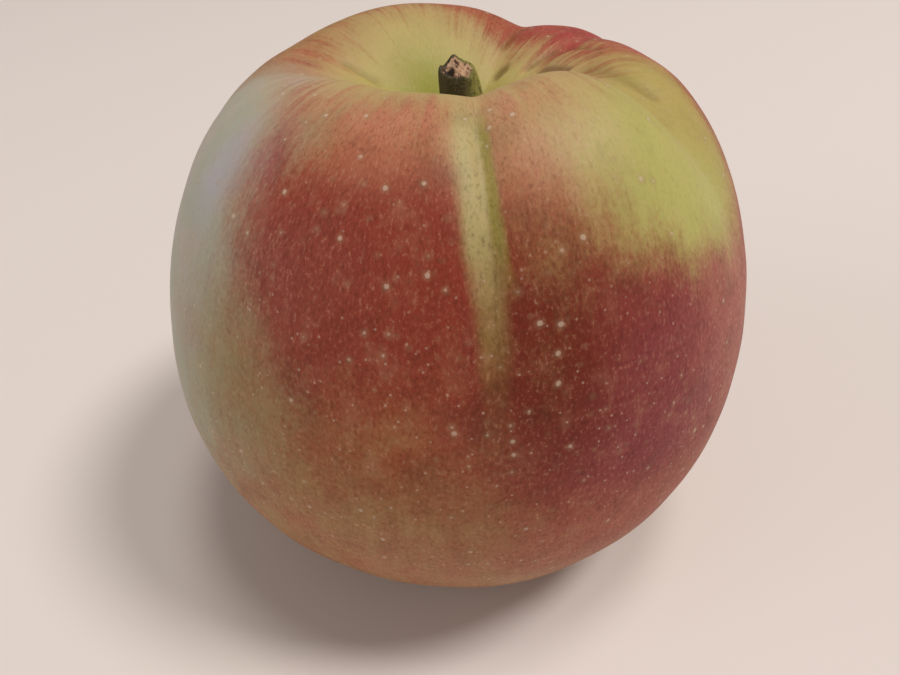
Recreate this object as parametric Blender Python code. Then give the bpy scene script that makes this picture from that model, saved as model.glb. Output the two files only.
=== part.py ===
"""A whole ripe apple, as picked, standing on its calyx end, with its short torn stem.

The front of the fruit faces -Y. An azimuth is in degrees round the upright axis, 0 at the front and
rising towards +X. The fruit is lofted from meridians: each runs from the stem socket up the cavity wall,
over the crest, down the shoulder and flank to the foot, and up through the calyx basin to the calyx tube.
"""

import math

import bmesh
import bpy
import numpy as np
from mathutils import Vector

MM = 0.001
CLEARANCE = 0.3 * MM

# Fruit, outer form
EQUATOR_RADIUS = 39.6 * MM
EQUATOR_HEIGHT = 31.6 * MM
CREST_HEIGHT = 67.6 * MM
CREST_RADIUS = 18.6 * MM
FOOT_RADIUS = 13.5 * MM
SHOULDER_FULLNESS = 1.9
FLANK_FULLNESS = 2.1

# Stem cavity, whose centre lies a little to one side of the fruit's
CAVITY_SHIFT = 1.1 * MM
CAVITY_DEPTH = 12.6 * MM
CAVITY_FLOOR_HEIGHT = CREST_HEIGHT - CAVITY_DEPTH
CAVITY_FLOOR_RADIUS = 4.2 * MM
CAVITY_FULLNESS = 1.6
SOCKET_DEPTH = 3.0 * MM

# Calyx basin and tube
BASIN_DEPTH = 9.5 * MM
BASIN_FLOOR_RADIUS = 5.4 * MM
BASIN_FULLNESS = 1.7
TUBE_RADIUS = 3.2 * MM
TUBE_DEPTH = 4.5 * MM
FEET = 5
FOOT_TURN = 20.0
FOOT_GAP = 0.9 * MM
PAD_CUT = 0.5 * MM

# Lobes round the crest: azimuth, rise of the crest, reach of the crest, swell of the flank
LOBES = (
    (-155.0, 1.6 * MM, -0.1 * MM, -0.9 * MM),
    (-105.0, -1.1 * MM, 3.0 * MM, -1.7 * MM),
    (-42.0, 1.3 * MM, -2.0 * MM, 0.7 * MM),
    (32.0, 3.2 * MM, -0.3 * MM, 1.1 * MM),
    (96.0, -0.7 * MM, 0.8 * MM, 0.5 * MM),
    (140.0, -1.0 * MM, 2.9 * MM, -0.7 * MM),
)
# Valleys between the lobes: azimuth, depth at the crest, half width in degrees
VALLEYS = (
    (-120.0, 0.1 * MM, 14.0),
    (-90.0, 0.6 * MM, 24.0),
    (5.0, 1.1 * MM, 24.0),
    (62.0, 4.0 * MM, 32.0),
    (125.0, 0.7 * MM, 14.0),
    (156.0, 1.8 * MM, 24.0),
)
VALLEY_ROUNDING = 1.0

# Suture: a shallow crease that runs from the front valley down over the shoulder
SUTURE_AZIMUTH = VALLEYS[2][0]
SUTURE_DEPTH = 0.9 * MM
SUTURE_WIDTHS = (4.0 * MM, 2.8 * MM)
SUTURE_REACH = (18.0 * MM, 24.0 * MM, 34.5 * MM, 39.0 * MM)

# Stem
STEM_BASE_RADIUS = 2.3 * MM
STEM_DROP = 0.8 * MM
STEM_TIP_HEIGHT = CREST_HEIGHT - STEM_DROP
STEM_BEND = 0.5 * MM
STEM_TIP_SLOPE = 0.3
STEM_RIBS = 3
STEM_RIB_DEPTH = 0.03
STEM_RIB_TURN = 40.0
STEM_SIDES = 20
# Up the stem: share of its length, of its base radius
STEM_OUTLINE = (
    (0.0, 1.0),
    (0.1, 1.0),
    (0.2, 1.0),
    (0.33, 1.1),
    (0.46, 1.17),
    (0.6, 1.21),
    (0.74, 1.21),
    (0.88, 1.17),
    (1.0, 1.04),
)

# Dried calyx
SEPALS = 5
SEPAL_LENGTH = 6.0 * MM
SEPAL_WIDTH = 3.2 * MM
SEPAL_THICKNESS = 0.7 * MM
SEPAL_RADIUS = (TUBE_RADIUS + BASIN_FLOOR_RADIUS) / 2.0
SEPAL_SPREAD = 1.4 * MM
SEPAL_CUP = 0.25
# Down a sepal: share of its length, of its width, of its spread
SEPAL_OUTLINE = (
    (0.0, 1.0, 0.0),
    (0.2, 1.0, 0.25),
    (0.45, 0.8, 0.3),
    (0.7, 0.5, 0.55),
    (0.88, 0.28, 0.85),
    (1.0, 0.12, 1.0),
)
# Round a sepal: share of its half width, of its half thickness
SEPAL_SECTION = ((-1.0, 0.0), (-0.5, -1.0), (0.5, -1.0), (1.0, 0.0), (0.5, 1.0), (-0.5, 1.0))
TUFT_GAP = 1.0 * MM
TUFT_RADIUS = TUBE_RADIUS - TUFT_GAP
TUFT_LENGTH = 7.5 * MM
TUFT_POINTS = 7
TUFT_NOTCH = 0.3
TUFT_RAGGED = 0.2
# Down the tuft: share of its length, of its radius
TUFT_OUTLINE = ((0.0, 0.75), (0.35, 0.8), (0.65, 1.0), (1.0, 1.2))

# Mesh density
COLUMN_STEP = 5.0
CAVITY_RINGS = 10
SHOULDER_RINGS = 15
FLANK_RINGS = 13
BASIN_RINGS = 7


def clear_scene():
    for old in list(bpy.data.objects):
        bpy.data.objects.remove(old, do_unlink=True)


def finish(color, roughness, name):
    material = bpy.data.materials.new(name)
    material.use_nodes = True
    shader = material.node_tree.nodes["Principled BSDF"]
    shader.inputs["Base Color"].default_value = (*color, 1.0)
    shader.inputs["Roughness"].default_value = roughness
    shader.inputs["Metallic"].default_value = 0.0
    return material


def make_object(name, bm, material):
    """Turns the bmesh into a smooth-shaded object with its faces pointing out."""
    bmesh.ops.recalc_face_normals(bm, faces=bm.faces)
    mesh = bpy.data.meshes.new(name)
    bm.to_mesh(mesh)
    bm.free()
    mesh.shade_smooth()
    mesh.materials.append(material)
    made = bpy.data.objects.new(name, mesh)
    bpy.context.collection.objects.link(made)
    return made


def loft(rings):
    """A closed body over equal rings of points, with a fan of faces over each end."""
    bm = bmesh.new()
    loops = [[bm.verts.new(point) for point in ring] for ring in rings]
    for lower, upper in zip(loops, loops[1:]):
        for i in range(len(lower)):
            j = (i + 1) % len(lower)
            bm.faces.new((lower[i], lower[j], upper[j], upper[i]))
    for loop in (loops[0], loops[-1]):
        centre = sum((v.co for v in loop), Vector()) / len(loop)
        hub = bm.verts.new(centre)
        for i in range(len(loop)):
            bm.faces.new((loop[i], loop[(i + 1) % len(loop)], hub))
    return bm


def turned(degrees):
    """The signed angle between -180 and 180."""
    return (degrees + 180.0) % 360.0 - 180.0


def round_the_lobes(azimuth, column):
    """A value of the lobes at this azimuth, eased from each lobe to the next."""
    for i, lobe in enumerate(LOBES):
        following = LOBES[(i + 1) % len(LOBES)]
        span = (following[0] - lobe[0]) % 360.0
        along = (azimuth - lobe[0]) % 360.0
        if along < span:
            ease = (1.0 - math.cos(math.pi * along / span)) / 2.0
            return lobe[column] + (following[column] - lobe[column]) * ease
    return LOBES[0][column]


def valley_depth(azimuth):
    depth = 0.0
    for middle, deepest, half_width in VALLEYS:
        away = math.hypot(turned(azimuth - middle), VALLEY_ROUNDING) / half_width
        depth += deepest * max(0.0, 1.0 - away) ** 2
    return depth


def quarter(count, fullness):
    """Points of a unit superellipse quarter as (across, up), from straight up to straight out."""
    points = []
    for step in np.linspace(0.0, 90.0, count):
        angle = math.radians(step)
        across = max(0.0, math.sin(angle)) ** (2.0 / fullness)
        up = max(0.0, math.cos(angle)) ** (2.0 / fullness)
        points.append((across, up))
    return points


def foot_height(azimuth):
    """Zero at each of the feet, rising between them, less the flat cut on each foot."""
    wave = math.cos(math.radians(FEET * (azimuth - FOOT_TURN)))
    return FOOT_GAP * (1.0 - wave) / 2.0 - PAD_CUT


def suture_depth(azimuth, radius):
    """How deep the suture is at this azimuth and distance from the cavity's centre."""
    across = radius * math.radians(turned(azimuth - SUTURE_AZIMUTH))
    width = SUTURE_WIDTHS[0] if across < 0.0 else SUTURE_WIDTHS[1]
    wall = max(0.0, 1.0 - abs(across) / width) ** 1.5
    along = np.interp(radius, SUTURE_REACH, (0.0, 1.0, 1.0, 0.0))
    return SUTURE_DEPTH * wall * along * along * (3.0 - 2.0 * along)


def meridian(azimuth):
    """(radius, height, shift) down one meridian, from the socket's floor to the calyx tube's floor."""
    crest_radius = CREST_RADIUS + round_the_lobes(azimuth, 2)
    crest = CREST_HEIGHT + round_the_lobes(azimuth, 1) - valley_depth(azimuth)
    flank = EQUATOR_RADIUS + round_the_lobes(azimuth, 3)
    foot = foot_height(azimuth)
    socket_radius = STEM_BASE_RADIUS + CLEARANCE
    points = [
        (socket_radius, CAVITY_FLOOR_HEIGHT - SOCKET_DEPTH, 1.0),
        (socket_radius, CAVITY_FLOOR_HEIGHT - SOCKET_DEPTH / 2.0, 1.0),
        (socket_radius, CAVITY_FLOOR_HEIGHT, 1.0),
    ]
    for across, up in reversed(quarter(CAVITY_RINGS, CAVITY_FULLNESS)):
        radius = crest_radius - (crest_radius - CAVITY_FLOOR_RADIUS) * across
        points.append((radius, CAVITY_FLOOR_HEIGHT + (crest - CAVITY_FLOOR_HEIGHT) * up, 1.0))
    for across, up in quarter(SHOULDER_RINGS, SHOULDER_FULLNESS)[1:]:
        radius = crest_radius + (flank - crest_radius) * across
        height = EQUATOR_HEIGHT + (crest - EQUATOR_HEIGHT) * up
        normal = Vector((radius - crest_radius, height - EQUATOR_HEIGHT)).normalized()
        depth = suture_depth(azimuth, radius)
        points.append((radius - depth * normal.x, height - depth * normal.y, up * up))
    for across, up in reversed(quarter(FLANK_RINGS, FLANK_FULLNESS)[:-1]):
        radius = FOOT_RADIUS + (flank - FOOT_RADIUS) * across
        points.append((radius, EQUATOR_HEIGHT - (EQUATOR_HEIGHT - foot) * up, 0.0))
    for across, up in quarter(BASIN_RINGS, BASIN_FULLNESS)[1:]:
        radius = FOOT_RADIUS - (FOOT_RADIUS - BASIN_FLOOR_RADIUS) * across
        points.append((radius, BASIN_DEPTH - (BASIN_DEPTH - foot) * up, 0.0))
    points += [
        (TUBE_RADIUS, BASIN_DEPTH, 0.0),
        (TUBE_RADIUS, BASIN_DEPTH + TUBE_DEPTH / 2.0, 0.0),
        (TUBE_RADIUS, BASIN_DEPTH + TUBE_DEPTH, 0.0),
    ]
    return points


def column_azimuths():
    """Meridians every few degrees, one on each valley and closer together beside it."""
    middles = [valley[0] for valley in VALLEYS]
    azimuths = []
    for i, start in enumerate(middles):
        span = (middles[(i + 1) % len(middles)] - start) % 360.0
        count = math.ceil(span / COLUMN_STEP)
        for step in range(count):
            even = step / count
            eased = (1.0 - math.cos(math.pi * even)) / 2.0
            azimuths.append(start + span * (even + eased) / 2.0)
    return azimuths


def around(azimuth, radius, height, shift=0.0):
    """A point at this azimuth and radius, from an axis moved sideways by the shift."""
    angle = math.radians(azimuth)
    return Vector((radius * math.sin(angle) + shift, -radius * math.cos(angle), height))


def make_fruit():
    columns = [(azimuth, meridian(azimuth)) for azimuth in column_azimuths()]
    rings = []
    for i in range(len(columns[0][1])):
        ring = []
        for azimuth, points in columns:
            radius, height, shift = points[i]
            ring.append(around(azimuth, radius, max(height, 0.0), shift * CAVITY_SHIFT))
        rings.append(ring)
    skin = finish((0.38, 0.08, 0.05), 0.42, "apple_skin")
    return make_object("fruit", loft(rings), skin)


def make_stem():
    """A short woody stub that swells and bends a little, its torn end sloping to the front."""
    base = CAVITY_FLOOR_HEIGHT - SOCKET_DEPTH + CLEARANCE
    length = STEM_TIP_HEIGHT - base
    socket_top = (SOCKET_DEPTH - CLEARANCE) / length
    rings = []
    for along, swell in STEM_OUTLINE:
        clear = max(0.0, along - socket_top) / (1.0 - socket_top)
        ring = []
        for side in range(STEM_SIDES):
            azimuth = 360.0 * side / STEM_SIDES
            wave = math.cos(math.radians(STEM_RIBS * azimuth + STEM_RIB_TURN))
            radius = STEM_BASE_RADIUS * swell * (1.0 - STEM_RIB_DEPTH * clear * (1.0 + wave))
            point = around(azimuth, radius, base + length * along, CAVITY_SHIFT)
            point.z += STEM_TIP_SLOPE * point.y * clear ** 3
            point.x += STEM_BEND * math.sin(math.pi * clear)
            ring.append(point)
        rings.append(ring)
    bark = finish((0.10, 0.085, 0.035), 0.75, "stem_bark")
    return make_object("stem", loft(rings), bark)


def make_sepal(number, material):
    """One dried calyx lobe, hanging below the basin's floor: broad at its base, with its tip curled out."""
    azimuth = 360.0 * (number - 1) / SEPALS + FOOT_TURN
    rings = []
    for along, breadth, spread in SEPAL_OUTLINE:
        radius = SEPAL_RADIUS + SEPAL_SPREAD * spread
        height = BASIN_DEPTH - CLEARANCE - SEPAL_LENGTH * along
        half = SEPAL_WIDTH * breadth / 2.0
        thick = SEPAL_THICKNESS * (1.0 - 0.5 * along) / 2.0
        ring = []
        for across, out in SEPAL_SECTION:
            cup = SEPAL_CUP * half * across * across
            middle = around(azimuth, radius + out * thick - cup, height)
            ring.append(middle + side_step(azimuth, half * across))
        rings.append(ring)
    return make_object(f"sepal_{number}", loft(rings), material)


def side_step(azimuth, distance):
    """A move sideways, square to the azimuth."""
    angle = math.radians(azimuth)
    return Vector((distance * math.cos(angle), distance * math.sin(angle), 0.0))


def make_stamens():
    """The dried tuft in the calyx tube, its outline notched into points that spread as they go down."""
    top = BASIN_DEPTH + TUBE_DEPTH - CLEARANCE
    sides = 2 * TUFT_POINTS
    rings = []
    for along, size in TUFT_OUTLINE:
        ring = []
        for side in range(sides):
            inner = side % 2 * along
            radius = TUFT_RADIUS * size * (1.0 - TUFT_NOTCH * inner)
            drop = TUFT_LENGTH * along * (1.0 - TUFT_RAGGED * inner)
            ring.append(around(360.0 * side / sides, radius, top - drop))
        rings.append(ring)
    dried = finish((0.09, 0.06, 0.035), 0.9, "dried_stamens")
    return make_object("stamens", loft(rings), dried)


def outline_middle(piece):
    """The middle of the piece's outline as seen from above, at the height of its feet."""
    points = np.array([v.co for v in piece.data.vertices])
    low, high = points.min(axis=0), points.max(axis=0)
    return Vector(((low[0] + high[0]) / 2.0, (low[1] + high[1]) / 2.0, 0.0))


def main():
    clear_scene()
    fruit = make_fruit()
    dried = finish((0.14, 0.09, 0.05), 0.85, "dried_sepal")
    sepals = [make_sepal(number, dried) for number in range(1, SEPALS + 1)]
    middle = outline_middle(fruit)
    for piece in (fruit, make_stem(), *sepals, make_stamens()):
        piece.location = -middle


main()
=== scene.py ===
"""The looks of a whole ripe apple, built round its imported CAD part.

The front of the fruit faces -Y. An azimuth is in degrees round the fruit's own axis, 0 at the front and
rising towards +X. A climb is the angle in degrees above the level of the fruit's heart, seen from the
heart, so it runs from the calyx at about -80 over the flank and the crest to the stem at about 80.
"""

import math

import bpy
import numpy as np
from mathutils import Matrix, Vector, noise


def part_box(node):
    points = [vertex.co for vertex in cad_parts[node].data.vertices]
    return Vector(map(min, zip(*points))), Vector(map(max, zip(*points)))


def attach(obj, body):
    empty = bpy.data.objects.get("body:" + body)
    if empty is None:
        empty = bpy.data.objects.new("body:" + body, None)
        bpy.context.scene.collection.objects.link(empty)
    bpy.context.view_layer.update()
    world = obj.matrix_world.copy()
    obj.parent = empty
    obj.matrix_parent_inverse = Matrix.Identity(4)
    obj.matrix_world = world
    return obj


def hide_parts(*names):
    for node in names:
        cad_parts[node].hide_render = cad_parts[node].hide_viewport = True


MM = 0.001

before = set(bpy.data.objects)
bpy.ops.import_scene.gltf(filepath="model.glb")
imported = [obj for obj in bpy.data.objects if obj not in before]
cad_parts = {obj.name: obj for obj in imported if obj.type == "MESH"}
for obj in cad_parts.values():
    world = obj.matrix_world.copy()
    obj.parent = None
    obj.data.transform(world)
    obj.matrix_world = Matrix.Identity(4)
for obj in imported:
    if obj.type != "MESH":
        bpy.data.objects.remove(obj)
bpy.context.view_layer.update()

# The fruit's own axis, its heart, the middle of the stem cavity, and the fruit's radius in millimetres
AXIS = Vector((-0.91, 0.91, 0.0)) * MM
HEART_HEIGHT = 34.0 * MM
CAVITY_X = 1.1 * MM
RIPE_RADIUS = 39.6

# Suture down the front
SUTURE_AZIMUTH = 5.0

# Camera: lens and sensor in millimetres, turns in degrees
CAMERA_PLACE = Vector((-0.91, -80.95, 92.91)) * MM
CAMERA_LENS = 27.04
CAMERA_SENSOR = 36.0
CAMERA_PITCH = 50.3
CAMERA_YAW = 0.376
CAMERA_ROLL = -1.037


# ---------------------------------------------------------------- materials


class Wire:
    """An output of a finish's nodes. Sums written on it add Math nodes."""

    def __init__(self, finish, socket):
        self.finish = finish
        self.socket = socket

    def math(self, operation, *others):
        return self.finish.math(operation, self, *others)

    def __add__(self, other):
        return self.math("ADD", other)

    def __radd__(self, other):
        return self.math("ADD", other)

    def __sub__(self, other):
        return self.math("SUBTRACT", other)

    def __rsub__(self, other):
        return self.finish.math("SUBTRACT", other, self)

    def __mul__(self, other):
        return self.math("MULTIPLY", other)

    def __rmul__(self, other):
        return self.math("MULTIPLY", other)

    def __truediv__(self, other):
        return self.math("DIVIDE", other)

    def __neg__(self):
        return self.math("MULTIPLY", -1.0)

    def __abs__(self):
        return self.math("ABSOLUTE")

    def root(self):
        return self.math("SQRT")

    def degrees_from(self, across):
        """The angle whose opposite side is this wire and whose near side is across, in degrees."""
        return self.math("ARCTAN2", across) * (180.0 / math.pi)

    def fade(self, low, high, at_low=0.0, at_high=1.0):
        """Eases from at_low to at_high while this wire goes from low to high."""
        sockets = {"Value": self, "From Min": low, "From Max": high, "To Min": at_low, "To Max": at_high}
        return self.finish.node("ShaderNodeMapRange", {"interpolation_type": "SMOOTHSTEP"}, sockets)


class Finish:
    """A material whose pattern is built from nodes."""

    def __init__(self, name):
        self.material = bpy.data.materials.new(name)
        self.material.use_nodes = True
        self.tree = self.material.node_tree
        self.shader = self.tree.nodes["Principled BSDF"]

    def feed(self, socket, value):
        if isinstance(value, Wire):
            self.tree.links.new(value.socket, socket)
        elif isinstance(value, tuple) and len(value) == 3 and socket.type == "RGBA":
            socket.default_value = (*value, 1.0)
        else:
            socket.default_value = value

    def node(self, kind, settings, sockets, output=0):
        """Adds a node, sets its settings and then its sockets, and gives one of its outputs."""
        made = self.tree.nodes.new(kind)
        for name, value in settings.items():
            setattr(made, name, value)
        for name, value in sockets.items():
            self.feed(made.inputs[name], value)
        return Wire(self, made.outputs[output])

    def math(self, operation, *inputs):
        return self.node("ShaderNodeMath", {"operation": operation}, dict(enumerate(inputs)))

    def set(self, **sockets):
        """Sets or links the shader's own sockets; an underscore in a name stands for a space."""
        for name, value in sockets.items():
            self.feed(self.shader.inputs[name.replace("_", " ")], value)

    def place(self, origin=(0.0, 0.0, 0.0)):
        """The point on the piece in millimetres, measured from an origin in metres."""
        point = self.node("ShaderNodeTexCoord", {}, {}, "Object")
        moved = self.node("ShaderNodeVectorMath", {"operation": "SUBTRACT"}, {0: point, 1: tuple(origin)})
        return self.node("ShaderNodeVectorMath", {"operation": "SCALE"}, {0: moved, "Scale": 1.0 / MM})

    def split(self, vector):
        return [self.node("ShaderNodeSeparateXYZ", {}, {0: vector}, i) for i in range(3)]

    def join(self, x, y, z):
        return self.node("ShaderNodeCombineXYZ", {}, {0: x, 1: y, 2: z})

    def grain(self, vector, size, detail, roughness):
        """Noise from 0 to 1 whose features are about the given size in the vector's own units."""
        sockets = {"Vector": vector, "Scale": 1.0 / size, "Detail": detail, "Roughness": roughness}
        return self.node("ShaderNodeTexNoise", {}, sockets)

    def cells(self, vector, size, output):
        """Scattered points, on average one for each cube of the given size."""
        return self.node("ShaderNodeTexVoronoi", {}, {"Vector": vector, "Scale": 1.0 / size}, output)

    def blend(self, under, over, mask):
        """A colour over another where the mask is 1."""
        return self.node("ShaderNodeMix", {"data_type": "RGBA"}, {0: mask, 6: under, 7: over}, 2)

    def bump(self, height, depth):
        """A bump whose height wire runs from 0 to 1 over the given depth in metres."""
        return self.node("ShaderNodeBump", {}, {"Height": height, "Distance": depth, "Strength": 1.0})


def skin_finish():
    """Waxy skin: yellow-green ground under red blush, with flecks, bloom, lenticels, russet, and painted
    sheen, highlight and shade.
    """
    skin = Finish("apple_skin")
    place = skin.place(origin=(AXIS.x, AXIS.y, HEART_HEIGHT))
    x, y, z = skin.split(place)
    radius = (x * x + y * y).root() + 0.01
    sine = x / radius
    cosine = -(y / radius)
    climb = z.degrees_from(radius)
    # Meridian coordinates: as wide as on the ripe flank, so that flecks run from the stem to the calyx
    east, south = sine * RIPE_RADIUS, cosine * RIPE_RADIUS
    run = climb * (RIPE_RADIUS * math.pi / 180.0)
    wandering = skin.grain(place, 9.0, 3.0, 0.55) - 0.5
    ragged = skin.grain(skin.join(east, south, run * 0.2), 1.1, 3.0, 0.6) - 0.5
    stipple = skin.grain(skin.join(east, south, run * 0.85), 0.5, 3.0, 0.7) - 0.5
    brushed = skin.grain(skin.join(east, south, run * 0.12), 1.6, 4.0, 0.6) - 0.5
    cloud = skin.grain(place, 4.0, 4.0, 0.6)
    blotch = skin.grain(skin.place(origin=(0.05, 0.02, 0.07)), 5.0, 3.0, 0.6) - 0.5

    def patch(azimuth, middle, half_width, half_height, softness=0.5, wander=0.5):
        """1 inside an oval on the skin, fading out over its softness, with a wandering edge."""
        turn = math.radians(azimuth)
        facing = cosine * math.cos(turn) + sine * math.sin(turn)
        away = facing.math("MINIMUM", 0.99999).math("ARCCOSINE")
        across = away * (180.0 / math.pi / half_width)
        along = (climb - middle) / half_height
        far = (across * across + along * along).root() + wandering * wander + ragged * (wander * 0.3)
        return far.fade(1.0 - softness, 1.0 + softness, 1.0, 0.0)

    def painted(under, coats):
        """Coats of (colour, patch) one over the other."""
        for colour, *oval in coats:
            under = skin.blend(under, colour, patch(*oval))
        return under

    def ring(low, high, soft):
        """1 between two climbs."""
        level = climb + wandering * 3.0
        return level.fade(low - soft, low + soft) * level.fade(high - soft, high + soft, 1.0, 0.0)

    ground = painted(GROUND_COLOUR, GROUND_COATS)
    blush = painted(BLUSH_COLOUR, BLUSH_COATS)
    cover = painted((BLUSH_COVER,) * 3, [((value,) * 3, *oval) for value, *oval in COVER_COATS])
    cover = skin.node("ShaderNodeSeparateColor", {}, {0: cover})

    # The cavity: yellow-green to its floor, the blush reaching over the crest in streaks
    hollow = climb + wandering * 4.0
    ground = skin.blend(ground, CAVITY_RIM_COLOUR, hollow.fade(56.0, 64.0) * 0.75)
    ground = skin.blend(ground, CAVITY_WALL_COLOUR, hollow.fade(62.0, 70.0))
    ground = skin.blend(ground, CAVITY_FLOOR_COLOUR, hollow.fade(68.0, 78.0))
    streaks = skin.grain(skin.join(sine * 13.0, cosine * 13.0, run * 0.04), 0.8, 3.0, 0.6)
    cover = cover * hollow.fade(58.0, 66.0, 1.0, 0.0)
    cover = cover + streaks.fade(0.38, 0.72) * ring(57.0, 69.0, 4.0) * 0.45
    cover = (cover + blotch * 0.6 + ragged * 0.2 + brushed * 0.25 + stipple * 0.6).fade(0.0, 1.0)
    colour = skin.blend(ground, blush, cover)

    # The suture: its own paler colour, with painted light along the wall that faces the window lamp and
    # painted shade in olive along the other, narrower and duller down the flank
    first = math.radians(SUTURE_AZIMUTH)
    beside = (sine * math.cos(first) - cosine * math.sin(first)) * (180.0 / math.pi)
    beside = beside + ragged * 1.2 + wandering * 3.0 + climb.fade(30.0, 54.0, -0.6, 0.7)
    front = cosine.fade(0.2, 0.6)
    band = (abs(beside) / climb.fade(26.0, 58.0, 2.0, 3.7)).fade(0.4, 1.6, 1.0, 0.0) * front
    drawn = climb + wandering * 10.0 + stipple * 6.0
    tone = skin.blend(SUTURE_FADED, SUTURE_DULL, drawn.fade(8.0, 32.0))
    tone = skin.blend(tone, SUTURE_PALE_AND_LIT, drawn.fade(26.0, 50.0))
    share = drawn.fade(10.0, 44.0, 0.06, 0.95) * climb.fade(56.0, 66.0, 1.0, 0.2)
    colour = skin.blend(colour, tone, band * share)
    # Painted shade: olive along the groove's wall turned away from the window lamp
    shade = beside.fade(1.6, 3.0) * beside.fade(3.6, 5.2, 1.0, 0.0) * front
    shade = shade * climb.fade(32.0, 44.0) * climb.fade(55.0, 61.0, 1.0, 0.0)
    colour = skin.blend(colour, SUTURE_PAINTED_SHADE, shade * 0.75)

    # Tones that vary within both: darker and lighter flecks, and a coarser cloudiness
    fleck = skin.grain(skin.join(east, south, run * 0.7), 0.4, 3.0, 0.7)
    colour = skin.blend(colour, FLECK_DARK, fleck.fade(0.48, 0.74) * cover.fade(0.0, 1.0, 0.14, 0.46))
    colour = skin.blend(colour, FLECK_PALE, fleck.fade(0.48, 0.22, 0.0, 0.4))
    dull = (cloud + brushed * 0.3).fade(0.45, 0.75)
    colour = skin.blend(colour, FLECK_DARK, dull * cover.fade(0.0, 1.0, 0.08, 0.26))
    colour = skin.blend(colour, FLECK_PALE, (cloud + brushed * 0.3).fade(0.5, 0.24, 0.0, 0.14))

    # Bloom, a thin pale film of wax, with a painted sheen in it: the pale bluish-grey cast of the light
    # from the left is painted into its colour
    bloom_and_sheen = skin.blend(BLOOM_AND_SHEEN_GREEN, BLOOM_AND_SHEEN_PINK, (wandering * 2.0 + cloud).fade(0.2, 0.8))
    thickness = cloud.fade(0.3, 0.7, BLOOM_AND_SHEEN_THIN, BLOOM_AND_SHEEN_THICK)
    colour = skin.blend(colour, bloom_and_sheen, patch(*BLOOM_AND_SHEEN_PLACE) * thickness)
    # A painted highlight: a small lilac-blue glint of the light from the left, high on the left flank
    colour = skin.blend(colour, PAINTED_BLUE_HIGHLIGHT, patch(*PAINTED_HIGHLIGHT_PLACE) * 0.4)

    # Folds, darkened both by their own duller tint and by painted shade in the crease, and the russet
    # where the skin was rubbed in them
    fold = skin.node("ShaderNodeAttribute", {"attribute_name": "fold"}, {}, "Fac")
    russet = skin.node("ShaderNodeAttribute", {"attribute_name": "russet"}, {}, "Fac")
    colour = skin.blend(colour, FOLD_SHADE_AND_TINT, (fold + stipple * 0.3).fade(0.1, 0.9, 0.0, 0.7))
    colour = skin.blend(colour, RUSSET_COLOUR, (russet + stipple * 0.5).fade(0.2, 0.8, 0.0, 0.75))
    basin = climb + ragged * 12.0
    colour = skin.blend(colour, BASIN_COLOUR, basin.fade(-62.0, -78.0, 0.0, 0.8))

    # Lenticels: pale grains in fainter halos, and between them small ones that fade towards the crest
    spot = skin.cells(place, LENTICEL_CELL, "Distance") * LENTICEL_CELL
    chance = skin.node("ShaderNodeSeparateColor", {}, {0: skin.cells(place, LENTICEL_CELL, "Color")})
    size = chance.fade(0.3, 1.0, 0.06, 0.29) + stipple * 0.25
    rarer = climb.fade(58.0, 68.0, 1.0, 0.15)
    dot = (spot - size).fade(-0.1, 0.07, 1.0, 0.0) * rarer
    halo = (spot - size).fade(0.0, 0.5, 0.2, 0.0) * rarer
    colour = skin.blend(colour, HALO_COLOUR, halo)
    small = skin.cells(place, SMALL_CELL, "Distance") * SMALL_CELL
    tiny = small.fade(0.06, 0.2, 0.5, 0.0) * climb.fade(10.0, 50.0, 1.0, 0.4) * rarer
    colour = skin.blend(colour, LENTICEL_COLOUR, (dot * 0.58).math("MAXIMUM", tiny))

    # Specks: a few dark pinpricks
    for azimuth, middle, size in SPECKS:
        colour = skin.blend(colour, SPECK_COLOUR, patch(azimuth, middle, size, size, 0.4, 0.0) * 0.85)

    relief = stipple * 0.4 + dot * 0.7 + fleck * 0.3 + cloud * 2.0
    rough = fleck.fade(0.2, 0.8, 0.44, 0.56)
    skin.set(Base_Color=colour, Roughness=rough, Normal=skin.bump(relief, 0.05 * MM))
    skin.set(Specular_IOR_Level=0.22)
    return skin.material


# Each coat: colour or value, azimuth and climb of its middle, its half width and half height in degrees,
# and where they aren't the usual ones its softness and how far its edge wanders
GROUND_COLOUR = (0.40, 0.27, 0.10)
GROUND_COATS = (
    ((0.38, 0.36, 0.22), -50.0, 16.0, 18.0, 28.0, 0.6),
    # Partly painted sheen: this pale grey ground on the left flank also holds the cast of the light from
    # the left
    ((0.47, 0.42, 0.32), -72.0, 36.0, 24.0, 28.0, 0.8),
    ((0.34, 0.26, 0.11), -34.0, 18.0, 13.0, 12.0, 0.8),
    ((0.40, 0.31, 0.18), -40.0, 54.0, 12.0, 9.0, 0.8),
    ((0.51, 0.36, 0.15), 20.0, 58.0, 26.0, 13.0, 0.6),
    ((0.50, 0.47, 0.14), 50.0, 42.0, 24.0, 17.0, 0.6),
    ((0.50, 0.34, 0.17), -58.0, 62.0, 26.0, 7.0, 0.6),
    ((0.47, 0.37, 0.11), 86.0, 54.0, 30.0, 16.0, 0.6),
    ((0.43, 0.37, 0.12), 180.0, 20.0, 60.0, 40.0),
)
BLUSH_COLOUR = (0.35, 0.08, 0.028)
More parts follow.
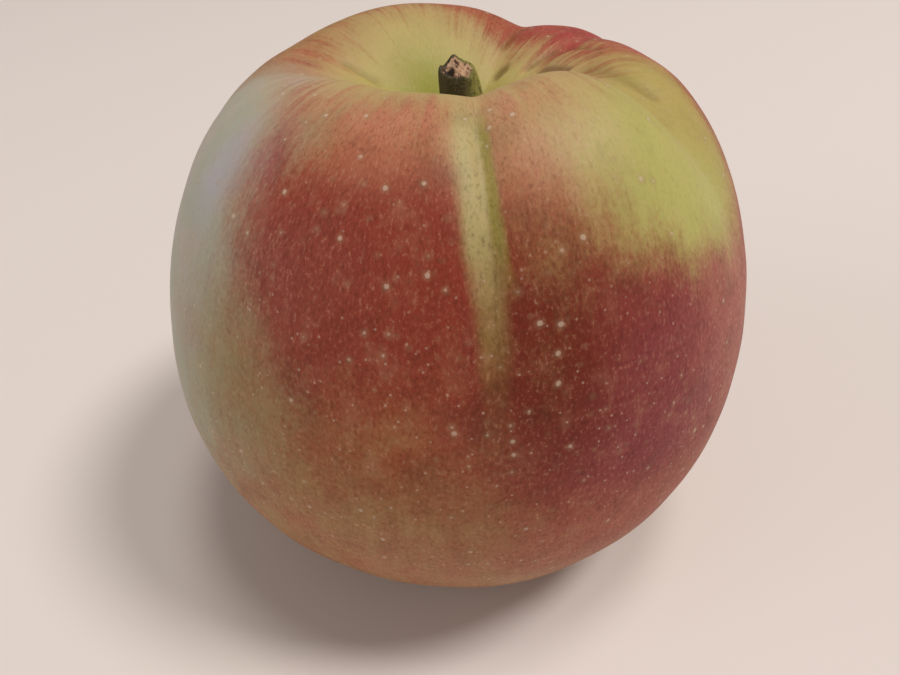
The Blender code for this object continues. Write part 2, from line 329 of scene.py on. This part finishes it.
BLUSH_COATS = (
    ((0.29, 0.045, 0.024), -16.0, 37.0, 32.0, 19.0, 0.5),
    ((0.52, 0.19, 0.105), -16.0, 61.0, 28.0, 10.0, 0.7),
    ((0.52, 0.22, 0.12), 17.0, 57.0, 15.0, 12.0, 0.7),
    ((0.34, 0.07, 0.08), -45.0, 49.0, 6.0, 6.0, 0.9),
    ((0.275, 0.043, 0.045), 37.0, 14.0, 29.0, 25.0, 0.6),
    ((0.19, 0.022, 0.011), 14.0, 24.0, 10.0, 16.0, 0.7),
    ((0.43, 0.10, 0.055), 16.0, -17.0, 50.0, 14.0, 0.7),
    # Partly painted sheen: this paler salmon low on the right flank is the blush lightened where light
    # grazes the edge
    ((0.41, 0.11, 0.085), 60.0, 18.0, 15.0, 26.0, 0.9),
    ((0.43, 0.07, 0.06), 124.0, 50.0, 44.0, 12.0),
    ((0.26, 0.03, 0.015), 130.0, 8.0, 40.0, 34.0),
    ((0.42, 0.12, 0.06), -140.0, 56.0, 60.0, 10.0),
)
BLUSH_COVER = 0.5
COVER_COATS = (
    (0.8, -6.0, 20.0, 16.0, 14.0, 0.7),
    (1.0, -17.0, 41.0, 31.0, 19.0, 0.45),
    (0.45, -40.0, 56.0, 13.0, 7.0, 0.8),
    (1.0, 34.0, 10.0, 28.0, 30.0, 0.4),
    (0.9, -44.0, 48.0, 6.0, 5.0, 0.9),
    (0.9, 78.0, 4.0, 24.0, 24.0, 0.5),
    (0.4, 15.0, 60.0, 19.0, 13.0, 0.6),
    (0.03, 58.0, 53.0, 34.0, 23.0, 0.35),
    (0.8, 12.0, 48.0, 8.0, 9.0, 0.7),
    (0.05, -71.0, 30.0, 25.0, 46.0, 0.6),
    (0.2, -47.0, 16.0, 15.0, 16.0, 0.7),
    (1.0, 121.0, 32.0, 43.0, 24.0, 0.3),
    (0.9, 130.0, 0.0, 40.0, 44.0),
    (0.9, 165.0, 54.0, 34.0, 9.0, 0.4),
    (0.25, -150.0, 20.0, 36.0, 40.0),
)
CAVITY_RIM_COLOUR = (0.51, 0.34, 0.15)
CAVITY_WALL_COLOUR = (0.52, 0.42, 0.14)
CAVITY_FLOOR_COLOUR = (0.36, 0.36, 0.05)
# The suture's tones: the pale one also holds painted light, the olive one is painted shade
SUTURE_PALE_AND_LIT = (0.49, 0.41, 0.17)
SUTURE_DULL = (0.29, 0.20, 0.055)
SUTURE_FADED = (0.27, 0.13, 0.035)
SUTURE_PAINTED_SHADE = (0.34, 0.30, 0.055)
FLECK_DARK = (0.06, 0.018, 0.006)
FLECK_PALE = (0.63, 0.36, 0.21)
# The bloom patch on the left flank: the skin's own waxy bloom together with a painted sheen of the light
# from the left
BLOOM_AND_SHEEN_PLACE = (-72.0, 30.0, 21.0, 46.0, 0.9, 0.8)
BLOOM_AND_SHEEN_GREEN = (0.42, 0.45, 0.35)
BLOOM_AND_SHEEN_PINK = (0.57, 0.47, 0.44)
BLOOM_AND_SHEEN_THIN = 0.45
BLOOM_AND_SHEEN_THICK = 0.65
# A painted highlight: where it lies on the left flank, and its lilac-blue colour
PAINTED_HIGHLIGHT_PLACE = (-56.0, 44.0, 6.0, 8.0, 0.9, 0.8)
PAINTED_BLUE_HIGHLIGHT = (0.46, 0.44, 0.55)
# Darkening in the folds: partly their own tint, partly painted shade
FOLD_SHADE_AND_TINT = (0.16, 0.11, 0.02)
RUSSET_COLOUR = (0.20, 0.10, 0.045)
BASIN_COLOUR = (0.20, 0.15, 0.06)
LENTICEL_CELL = 1.95
SMALL_CELL = 1.3
LENTICEL_COLOUR = (0.68, 0.50, 0.38)
HALO_COLOUR = (0.40, 0.27, 0.14)
SPECK_COLOUR = (0.025, 0.012, 0.006)
SPECKS = (
    (43.0, 33.0, 0.7),
    (-7.0, 42.5, 0.5),
    (-25.0, 44.0, 0.5),
    (-18.0, 14.5, 0.6),
    (-21.0, 49.0, 0.5),
    (-156.0, 70.5, 1.3),
    (84.0, 30.0, 0.6),
    (150.0, 24.0, 0.7),
)


def bark_finish():
    """The stem: dark ribbed bark, greener on one side and painted lighter there towards the window lamp,
    painted darker on the far side, round torn wood with painted highlights and a painted shaded pit.
    """
    bark = Finish("stem_bark")
    place = bark.place(origin=(AXIS.x + CAVITY_X, AXIS.y, 0.0))
    x, y, z = bark.split(place)
    along = bark.join(x, y, z * 0.3)
    ridges = bark.grain(along, 0.7, 4.0, 0.65)
    crumbs = bark.grain(place, 0.3, 3.0, 0.65)
    # Partly painted light: the side towards the window lamp is lighter green, the far side painted darker
    # as shade
    green_and_lit_side = (x + y * 0.3 + (ridges - 0.5) * 4.0).fade(-0.6, 2.0)
    colour = bark.blend(BARK_DARK_AND_SHADED, BARK_GREEN_AND_LIT, green_and_lit_side)
    colour = bark.blend(colour, BARK_CREVICE, ridges.fade(0.5, 0.62, 0.0, 0.6))
    colour = bark.blend(colour, BARK_SCURF, crumbs.fade(0.56, 0.72, 0.0, 0.55))
    torn = bark.node("ShaderNodeAttribute", {"attribute_name": "torn"}, {}, "Fac")
    pit = bark.node("ShaderNodeAttribute", {"attribute_name": "pit"}, {}, "Fac")
    fibres = bark.grain(bark.join(x, y * 0.6, z), 0.7, 4.0, 0.7)
    wood = bark.blend(WOOD_DARK, WOOD_PALE, fibres.fade(0.38, 0.52))
    # Painted highlights: pale splinters of the torn wood lightened where they catch the light
    wood = bark.blend(wood, WOOD_SPLINTER_HIGHLIGHT, fibres.fade(0.54, 0.7, 0.0, 0.8))
    # Painted shade: the deep pit in the torn wood is darkened
    wood = bark.blend(wood, WOOD_PIT_SHADE, pit.fade(0.1, 0.5))
    colour = bark.blend(colour, wood, (torn + (crumbs - 0.5) * 1.2).fade(0.45, 0.6))
    relief = ridges + crumbs * 0.6 + fibres * torn
    bark.set(Base_Color=colour, Roughness=crumbs.fade(0.3, 0.7, 0.5, 0.85))
    bark.set(Normal=bark.bump(relief, 0.25 * MM), Specular_IOR_Level=0.35)
    return bark.material


# The bark's two sides: their own dark and green tones, with painted shade on the far side and painted
# light on the side towards the window lamp
BARK_DARK_AND_SHADED = (0.075, 0.052, 0.022)
BARK_GREEN_AND_LIT = (0.30, 0.27, 0.06)
BARK_CREVICE = (0.006, 0.005, 0.003)
BARK_SCURF = (0.30, 0.25, 0.13)
WOOD_PALE = (0.60, 0.36, 0.21)
WOOD_DARK = (0.06, 0.025, 0.012)
# Pale splinters lightened with painted highlight
WOOD_SPLINTER_HIGHLIGHT = (0.78, 0.56, 0.40)
# Painted shade in the pit
WOOD_PIT_SHADE = (0.03, 0.015, 0.008)


def dry_finish(name, dark, pale):
    """Dried calyx: shrunken brown tissue with flecks of paler down."""
    dry = Finish(name)
    place = dry.place()
    x, y, z = dry.split(place)
    veins = dry.grain(dry.join(x, y, z * 0.3), 0.45, 3.0, 0.65)
    down = dry.grain(place, 0.16, 2.0, 0.7)
    colour = dry.blend(dark, pale, veins.fade(0.35, 0.7))
    colour = dry.blend(colour, DOWN_COLOUR, down.fade(0.56, 0.72, 0.0, 0.55))
    dry.set(Base_Color=colour, Roughness=down.fade(0.3, 0.7, 0.75, 0.95))
    dry.set(Normal=dry.bump(veins + down * 0.6, 0.2 * MM), Specular_IOR_Level=0.2)
    return dry.material


SEPAL_DARK = (0.07, 0.04, 0.018)
SEPAL_PALE = (0.24, 0.16, 0.085)
STAMEN_DARK = (0.04, 0.022, 0.01)
STAMEN_PALE = (0.15, 0.09, 0.045)
DOWN_COLOUR = (0.42, 0.34, 0.24)


# ---------------------------------------------------------------- shapes


# How a CAD node's loose triangles are joined into quads
MERGE_GAP = 0.002 * MM
QUAD_BEND = math.radians(60.0)
QUAD_SKEW = math.radians(179.0)


def deselect():
    for piece in bpy.context.selected_objects:
        piece.select_set(False)


def select_only(piece):
    deselect()
    piece.select_set(True)
    bpy.context.view_layer.objects.active = piece


def subdivide(piece, levels):
    smoothing = piece.modifiers.new("smoothing", "SUBSURF")
    smoothing.levels = levels
    smoothing.render_levels = levels
    bpy.ops.object.modifier_apply(modifier=smoothing.name)
    bpy.ops.object.shade_smooth()


def smooth_copy(node, name, levels):
    """A merged and subdivided copy of a CAD node, ready for finer shaping."""
    piece = bpy.data.objects.new(name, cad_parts[node].data.copy())
    bpy.context.collection.objects.link(piece)
    select_only(piece)
    bpy.ops.object.mode_set(mode="EDIT")
    bpy.ops.mesh.select_all(action="SELECT")
    bpy.ops.mesh.remove_doubles(threshold=MERGE_GAP)
    bpy.ops.mesh.tris_convert_to_quads(face_threshold=QUAD_BEND, shape_threshold=QUAD_SKEW)
    bpy.ops.object.mode_set(mode="OBJECT")
    subdivide(piece, levels)
    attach(piece, "root")
    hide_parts(node)
    return piece


def dress(piece, material):
    piece.data.materials.clear()
    piece.data.materials.append(material)


def reach_to(directions, distances, line):
    """Distance in millimetres from each point to a line of (azimuth, climb) points drawn on the skin."""
    corners = [np.array(direction(azimuth, climb)) for azimuth, climb in line]
    nearest = np.full(len(directions), np.inf)
    for start, end in zip(corners, corners[1:]):
        step = end - start
        share = np.clip((directions - start) @ step / (step @ step), 0.0, 1.0)
        gap = np.linalg.norm(directions - start - share[:, None] * step, axis=1)
        nearest = np.minimum(nearest, gap)
    return nearest * distances


def add_attribute(piece, name, values):
    attribute = piece.data.attributes.new(name, "FLOAT", "POINT")
    attribute.data.foreach_set("value", np.asarray(values, dtype=np.float32))


def carve_fruit(fruit):
    """Cuts the finer folds and gives the skin the slight unevenness of growth."""
    mesh = fruit.data
    count = len(mesh.vertices)
    points = np.empty(count * 3)
    mesh.vertices.foreach_get("co", points)
    points = points.reshape(count, 3)
    normals = np.array([vertex.normal for vertex in mesh.vertices])
    heart = np.array((AXIS.x, AXIS.y, HEART_HEIGHT))
    spokes = (points - heart) / MM
    distances = np.linalg.norm(spokes, axis=1)
    directions = spokes / distances[:, None]
    depth = np.zeros(count)
    fold = np.zeros(count)
    russet = np.zeros(count)
    for line, deep, width, dark, rubbed in FOLDS:
        near = np.exp(-((reach_to(directions, distances, line) / width) ** 2))
        depth += deep * near
        fold = np.maximum(fold, dark * near)
        russet = np.maximum(russet, rubbed * near)
    for i, vertex in enumerate(mesh.vertices):
        place = vertex.co / MM
        swell = SWELL_HEIGHT * noise.noise(place / SWELL_LENGTH)
        swell += RIPPLE_HEIGHT * noise.noise(place / RIPPLE_LENGTH + Vector((7.0, 3.0, 1.0)))
        depth[i] -= swell * min(1.0, max(0.0, (place.z - FEET_HEIGHT) / 6.0))
    points -= normals * (depth * MM)[:, None]
    points[:, 2] = np.maximum(points[:, 2], 0.0)
    mesh.vertices.foreach_set("co", points.ravel())
    mesh.update()
    add_attribute(fruit, "fold", fold)
    add_attribute(fruit, "russet", russet)


# Unevenness of the skin, in millimetres: a long swell and a shorter ripple, none of it at the feet
SWELL_HEIGHT = 0.30
SWELL_LENGTH = 15.0
RIPPLE_HEIGHT = 0.10
RIPPLE_LENGTH = 6.0
FEET_HEIGHT = 0.5

# Each fold: its line of (azimuth, climb) points, its depth and half width in millimetres, how dark it is
# with its own tint and painted shade, and how russeted
FOLDS = (
    (((94.0, 63.0), (83.5, 61.0), (77.5, 58.5), (74.0, 56.0), (72.0, 53.0)), 0.5, 1.2, 0.5, 0.0),
    (((129.0, 66.0), (127.5, 64.0), (125.5, 61.5), (119.5, 59.5), (108.0, 59.0)), 0.45, 0.6, 0.4, 0.5),
    (((119.0, 65.5), (107.5, 65.5), (101.5, 65.0)), 0.3, 0.7, 0.2, 0.9),
    (((151.0, 55.0), (152.5, 58.5), (152.5, 62.0)), 0.2, 0.7, 0.5, 0.2),
    (((-114.5, 65.0), (-115.0, 67.5), (-117.5, 70.5)), 0.35, 0.7, 0.5, 0.0),
    (((145.5, 68.0), (143.5, 67.0)), 0.3, 0.7, 1.0, 0.4),
    (((6.5, 60.0), (6.5, 50.0), (7.0, 42.0), (6.5, 36.0)), 0.3, 0.7, 0.35, 0.0),
)


def make_fruit():
    fruit = smooth_copy("fruit", "apple_flesh", 2)
    carve_fruit(fruit)
    dress(fruit, skin_finish())


def make_stem():
    """A short stub of bark round torn wood, jagged at its end, in place of the CAD stem."""
    low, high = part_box("stem")
    middle = Vector((AXIS.x + CAVITY_X, AXIS.y, 0.0))
    length = high[2] - low[2] - STEM_TEAR
    deselect()
    place = middle + Vector((0.0, 0.0, low[2] + length / 2.0))
    bpy.ops.mesh.primitive_cylinder_add(
        vertices=STEM_SIDES, radius=STEM_BASE_RADIUS, depth=length, location=place
    )
    stem = bpy.context.object
    stem.name = "torn_stem"
    bpy.ops.object.transform_apply(location=True)
    bpy.ops.object.mode_set(mode="EDIT")
    for step in range(1, STEM_RINGS):
        bpy.ops.mesh.select_all(action="SELECT")
        cut = (middle.x, middle.y, low[2] + length * step / STEM_RINGS)
        bpy.ops.mesh.bisect(plane_co=cut, plane_no=(0.0, 0.0, 1.0))
    bpy.ops.mesh.select_mode(type="FACE")
    bpy.ops.mesh.select_all(action="DESELECT")
    bpy.ops.object.mode_set(mode="OBJECT")
    for face in stem.data.polygons:
        face.select = face.normal.z > 0.9
    bpy.ops.object.mode_set(mode="EDIT")
    for _ in range(END_RINGS):
        bpy.ops.mesh.inset(thickness=STEM_BASE_RADIUS / (END_RINGS + 1))
    bpy.ops.object.mode_set(mode="OBJECT")
    shape_stem(stem, low[2], length, middle)
    subdivide(stem, 1)
    dress(stem, bark_finish())
    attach(stem, "root")
    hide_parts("stem")


def shape_stem(stem, base, length, middle):
    """Swells, bends, ribs and tears the stub."""
    torn = []
    pit = []
    for vertex in stem.data.vertices:
        side = vertex.co - middle
        along = (vertex.co.z - base) / length
        out = Vector((side.x, side.y, 0.0)).length / STEM_BASE_RADIUS
        turn = math.atan2(side.x, -side.y)
        clear = max(0.0, along - STEM_SOCKET) / (1.0 - STEM_SOCKET)
        swell = 1.0 + STEM_SWELL * math.sin(math.pi * min(1.0, clear * 0.86)) ** 1.2
        shoulder = clear ** 4 * STEM_SHOULDER * (1.0 + math.cos(turn - SHOULDER_TURN))
        place = Vector((side.x, side.y, vertex.co.z * RIB_STRETCH)) / MM
        rib = COARSE_RIB * noise.noise(place * 1.1) + FINE_RIB * noise.noise(place * 2.6)
        radius = swell * (1.0 - shoulder) + rib * min(1.0, clear * 3.0)
        vertex.co.x = middle.x + side.x * radius + STEM_BEND * math.sin(math.pi * clear)
        vertex.co.y = middle.y + side.y * radius
        vertex.co.z += STEM_SLOPE * side.y * clear ** 3
        deep = 0.0
        inside = 0.0
        if along > END_START:
            inside = 1.0 if out < WOOD_REACH else 0.0
            rough = Vector((side.x, side.y, 0.0)) / MM
            jag = noise.noise(rough * 0.9 + Vector((3.0, 5.0, 2.0))) + 0.5 * noise.noise(rough * 2.2)
            rim = max(0.0, 1.0 - abs(out - RIM_MIDDLE) / RIM_HALF_WIDTH)
            hollow = 1.0 if out < HOLLOW_REACH else 0.0
            vertex.co.z += JAG_HEIGHT * jag + RIM_HEIGHT * rim - HOLLOW_DEPTH * hollow
            hole = (Vector((side.x, side.y)) - PIT_PLACE).length
            deep = max(0.0, 1.0 - hole / PIT_RADIUS)
            vertex.co.z -= PIT_DEPTH * deep * hollow
        pit.append(deep)
        torn.append(inside)
    add_attribute(stem, "torn", torn)
    add_attribute(stem, "pit", pit)


# The stem: the sides and rings of its mesh, its sizes, the share of it that stands in the socket, and how
# it swells, bends, slopes, narrows at its shoulder and is ribbed above that
STEM_SIDES = 40
STEM_RINGS = 26
END_RINGS = 7
STEM_BASE_RADIUS = 2.3 * MM
STEM_TEAR = 1.5 * MM
STEM_SOCKET = 0.2
STEM_SWELL = 0.21
STEM_BEND = 0.5 * MM
STEM_SLOPE = 0.3
STEM_SHOULDER = 0.10
SHOULDER_TURN = math.radians(95.0)
COARSE_RIB = 0.05
FINE_RIB = 0.03
RIB_STRETCH = 0.3
END_START = 0.999

# The torn end: how far out its wood, rim and hollow lie as shares of the base radius, and one deeper pit,
# also darkened by painted shade
WOOD_REACH = 0.86
RIM_MIDDLE = 0.9
RIM_HALF_WIDTH = 0.22
HOLLOW_REACH = 0.8
JAG_HEIGHT = 0.75 * MM
RIM_HEIGHT = 0.45 * MM
HOLLOW_DEPTH = 0.3 * MM
PIT_PLACE = Vector((-1.1, 0.3)) * MM
PIT_RADIUS = 0.9 * MM
PIT_DEPTH = 0.9 * MM


def make_calyx():
    """The dried calyx lobes and the tuft of stamens they stand round."""
    sepal = dry_finish("dried_sepal", SEPAL_DARK, SEPAL_PALE)
    for number in range(1, 6):
        lobe = smooth_copy(f"sepal_{number}", f"dried_sepal_{number}", 2)
        for vertex in lobe.data.vertices:
            place = vertex.co / MM
            vertex.co += vertex.normal * SEPAL_CRUMPLE * MM * noise.noise(place * 0.9)
        dress(lobe, sepal)
    stamens = dry_finish("dried_stamens", STAMEN_DARK, STAMEN_PALE)
    low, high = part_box("stamens")
    filaments = []
    for number in range(FILAMENTS):
        turn = 360.0 * number * GOLDEN_SHARE
        spread = math.sqrt((number + 0.5) / FILAMENTS)
        root = Vector((AXIS.x, AXIS.y, high[2])) + direction(turn, 0.0) * TUFT_ROOT * MM * spread
        tip = Vector((AXIS.x, AXIS.y, low[2])) + direction(turn, 0.0) * TUFT_TIP * MM * spread
        tip.z += TUFT_UNEVENNESS * MM * abs(noise.noise(Vector((number * 1.7, 0.3, 0.8))))
        filaments.append(make_filament(root, tip))
    deselect()
    for filament in filaments:
        filament.select_set(True)
    bpy.context.view_layer.objects.active = filaments[0]
    bpy.ops.object.join()
    tuft = filaments[0]
    tuft.name = "dried_tuft"
    bpy.ops.object.shade_smooth()
    dress(tuft, stamens)
    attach(tuft, "root")
    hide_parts("stamens")


def make_filament(root, tip):
    """One stamen, from its root down to the shrivelled anther at its tip."""
    deselect()
    step = tip - root
    bpy.ops.mesh.primitive_cone_add(
        vertices=6, radius1=FILAMENT_FOOT, radius2=FILAMENT_END, depth=step.length
    )
    filament = bpy.context.object
    turn = step.to_track_quat("-Z", "Y").to_matrix().to_4x4()
    filament.matrix_world = Matrix.Translation((root + tip) / 2.0) @ turn
    bpy.ops.object.transform_apply(location=True, rotation=True)
    bpy.ops.mesh.primitive_uv_sphere_add(segments=6, ring_count=4, radius=ANTHER_RADIUS, location=tip)
    bpy.ops.object.transform_apply(location=True)
    filament.select_set(True)
    bpy.context.view_layer.objects.active = filament
    bpy.ops.object.join()
    return filament


# Sizes in millimetres: how far a sepal crumples, how wide the tuft is at its roots and its tips, and how
# far its tips differ in length. Each stamen stands a golden share of a turn on from the last.
SEPAL_CRUMPLE = 0.12
FILAMENTS = 17
GOLDEN_SHARE = 0.381966
TUFT_ROOT = 1.5
TUFT_TIP = 2.3
TUFT_UNEVENNESS = 2.0

FILAMENT_FOOT = 0.3 * MM
FILAMENT_END = 0.16 * MM
ANTHER_RADIUS = 0.42 * MM


# ---------------------------------------------------------------- studio


def direction(azimuth, climb):
    turn, rise = math.radians(azimuth), math.radians(climb)
    return Vector((math.sin(turn) * math.cos(rise), -math.cos(turn) * math.cos(rise), math.sin(rise)))


def add_lamp(name, azimuth, climb, size, brightness, colour):
    """A round soft light on the fruit. Its brightness is what a white wall facing it would show."""
    lamp = bpy.data.lights.new(name, "AREA")
    lamp.shape = "DISK"
    lamp.size = size
    lamp.energy = brightness * (math.pi * LAMP_DISTANCE) ** 2
    lamp.color = colour
    holder = bpy.data.objects.new(name, lamp)
    bpy.context.collection.objects.link(holder)
    holder.location = direction(azimuth, climb) * LAMP_DISTANCE + Vector((0.0, 0.0, HEART_HEIGHT))
    holder.rotation_euler = direction(azimuth, climb).to_track_quat("Z", "Y").to_euler()


# Each lamp: its name, azimuth, climb, size in metres, brightness and colour
LAMPS = (
    ("window", 86.0, 60.0, 0.5, 0.51, (1.0, 0.97, 0.95)),
    ("ceiling", 95.0, 82.0, 0.5, 0.25, (1.0, 0.97, 0.93)),
    ("far_window", -75.0, 18.0, 1.4, 0.24, (0.85, 0.93, 1.0)),
)
LAMP_DISTANCE = 2.0
FLOOR_SIZE = 8.0
PAPER_COLOUR = (0.80, 0.72, 0.675)
ROOM_COLOUR = (1.0, 0.91, 0.84, 1.0)
ROOM_BRIGHTNESS = 0.23


def make_studio():
    bpy.ops.mesh.primitive_plane_add(size=FLOOR_SIZE)
    floor = bpy.context.object
    floor.name = "floor"
    paper = Finish("floor_paper")
    paper.set(Base_Color=PAPER_COLOUR, Roughness=0.8, Specular_IOR_Level=0.2)
    floor.data.materials.append(paper.material)
    for lamp in LAMPS:
        add_lamp(*lamp)
    room = bpy.data.worlds.new("room")
    room.use_nodes = True
    background = room.node_tree.nodes["Background"]
    background.inputs["Color"].default_value = ROOM_COLOUR
    background.inputs["Strength"].default_value = ROOM_BRIGHTNESS
    bpy.context.scene.world = room
    bpy.context.scene.view_settings.view_transform = "Standard"


def make_camera():
    camera = bpy.data.cameras.new("camera")
    camera.lens = CAMERA_LENS
    camera.sensor_width = CAMERA_SENSOR
    camera.clip_start = 1.0 * MM
    holder = bpy.data.objects.new("camera", camera)
    bpy.context.collection.objects.link(holder)
    turn = Matrix.Rotation(math.radians(CAMERA_YAW), 4, "Z")
    pitch = Matrix.Rotation(math.radians(CAMERA_PITCH), 4, "X")
    roll = Matrix.Rotation(math.radians(CAMERA_ROLL), 4, "Z")
    holder.matrix_world = Matrix.Translation(CAMERA_PLACE) @ turn @ pitch @ roll
    bpy.context.scene.camera = holder


make_fruit()
make_stem()
make_calyx()
make_studio()
make_camera()
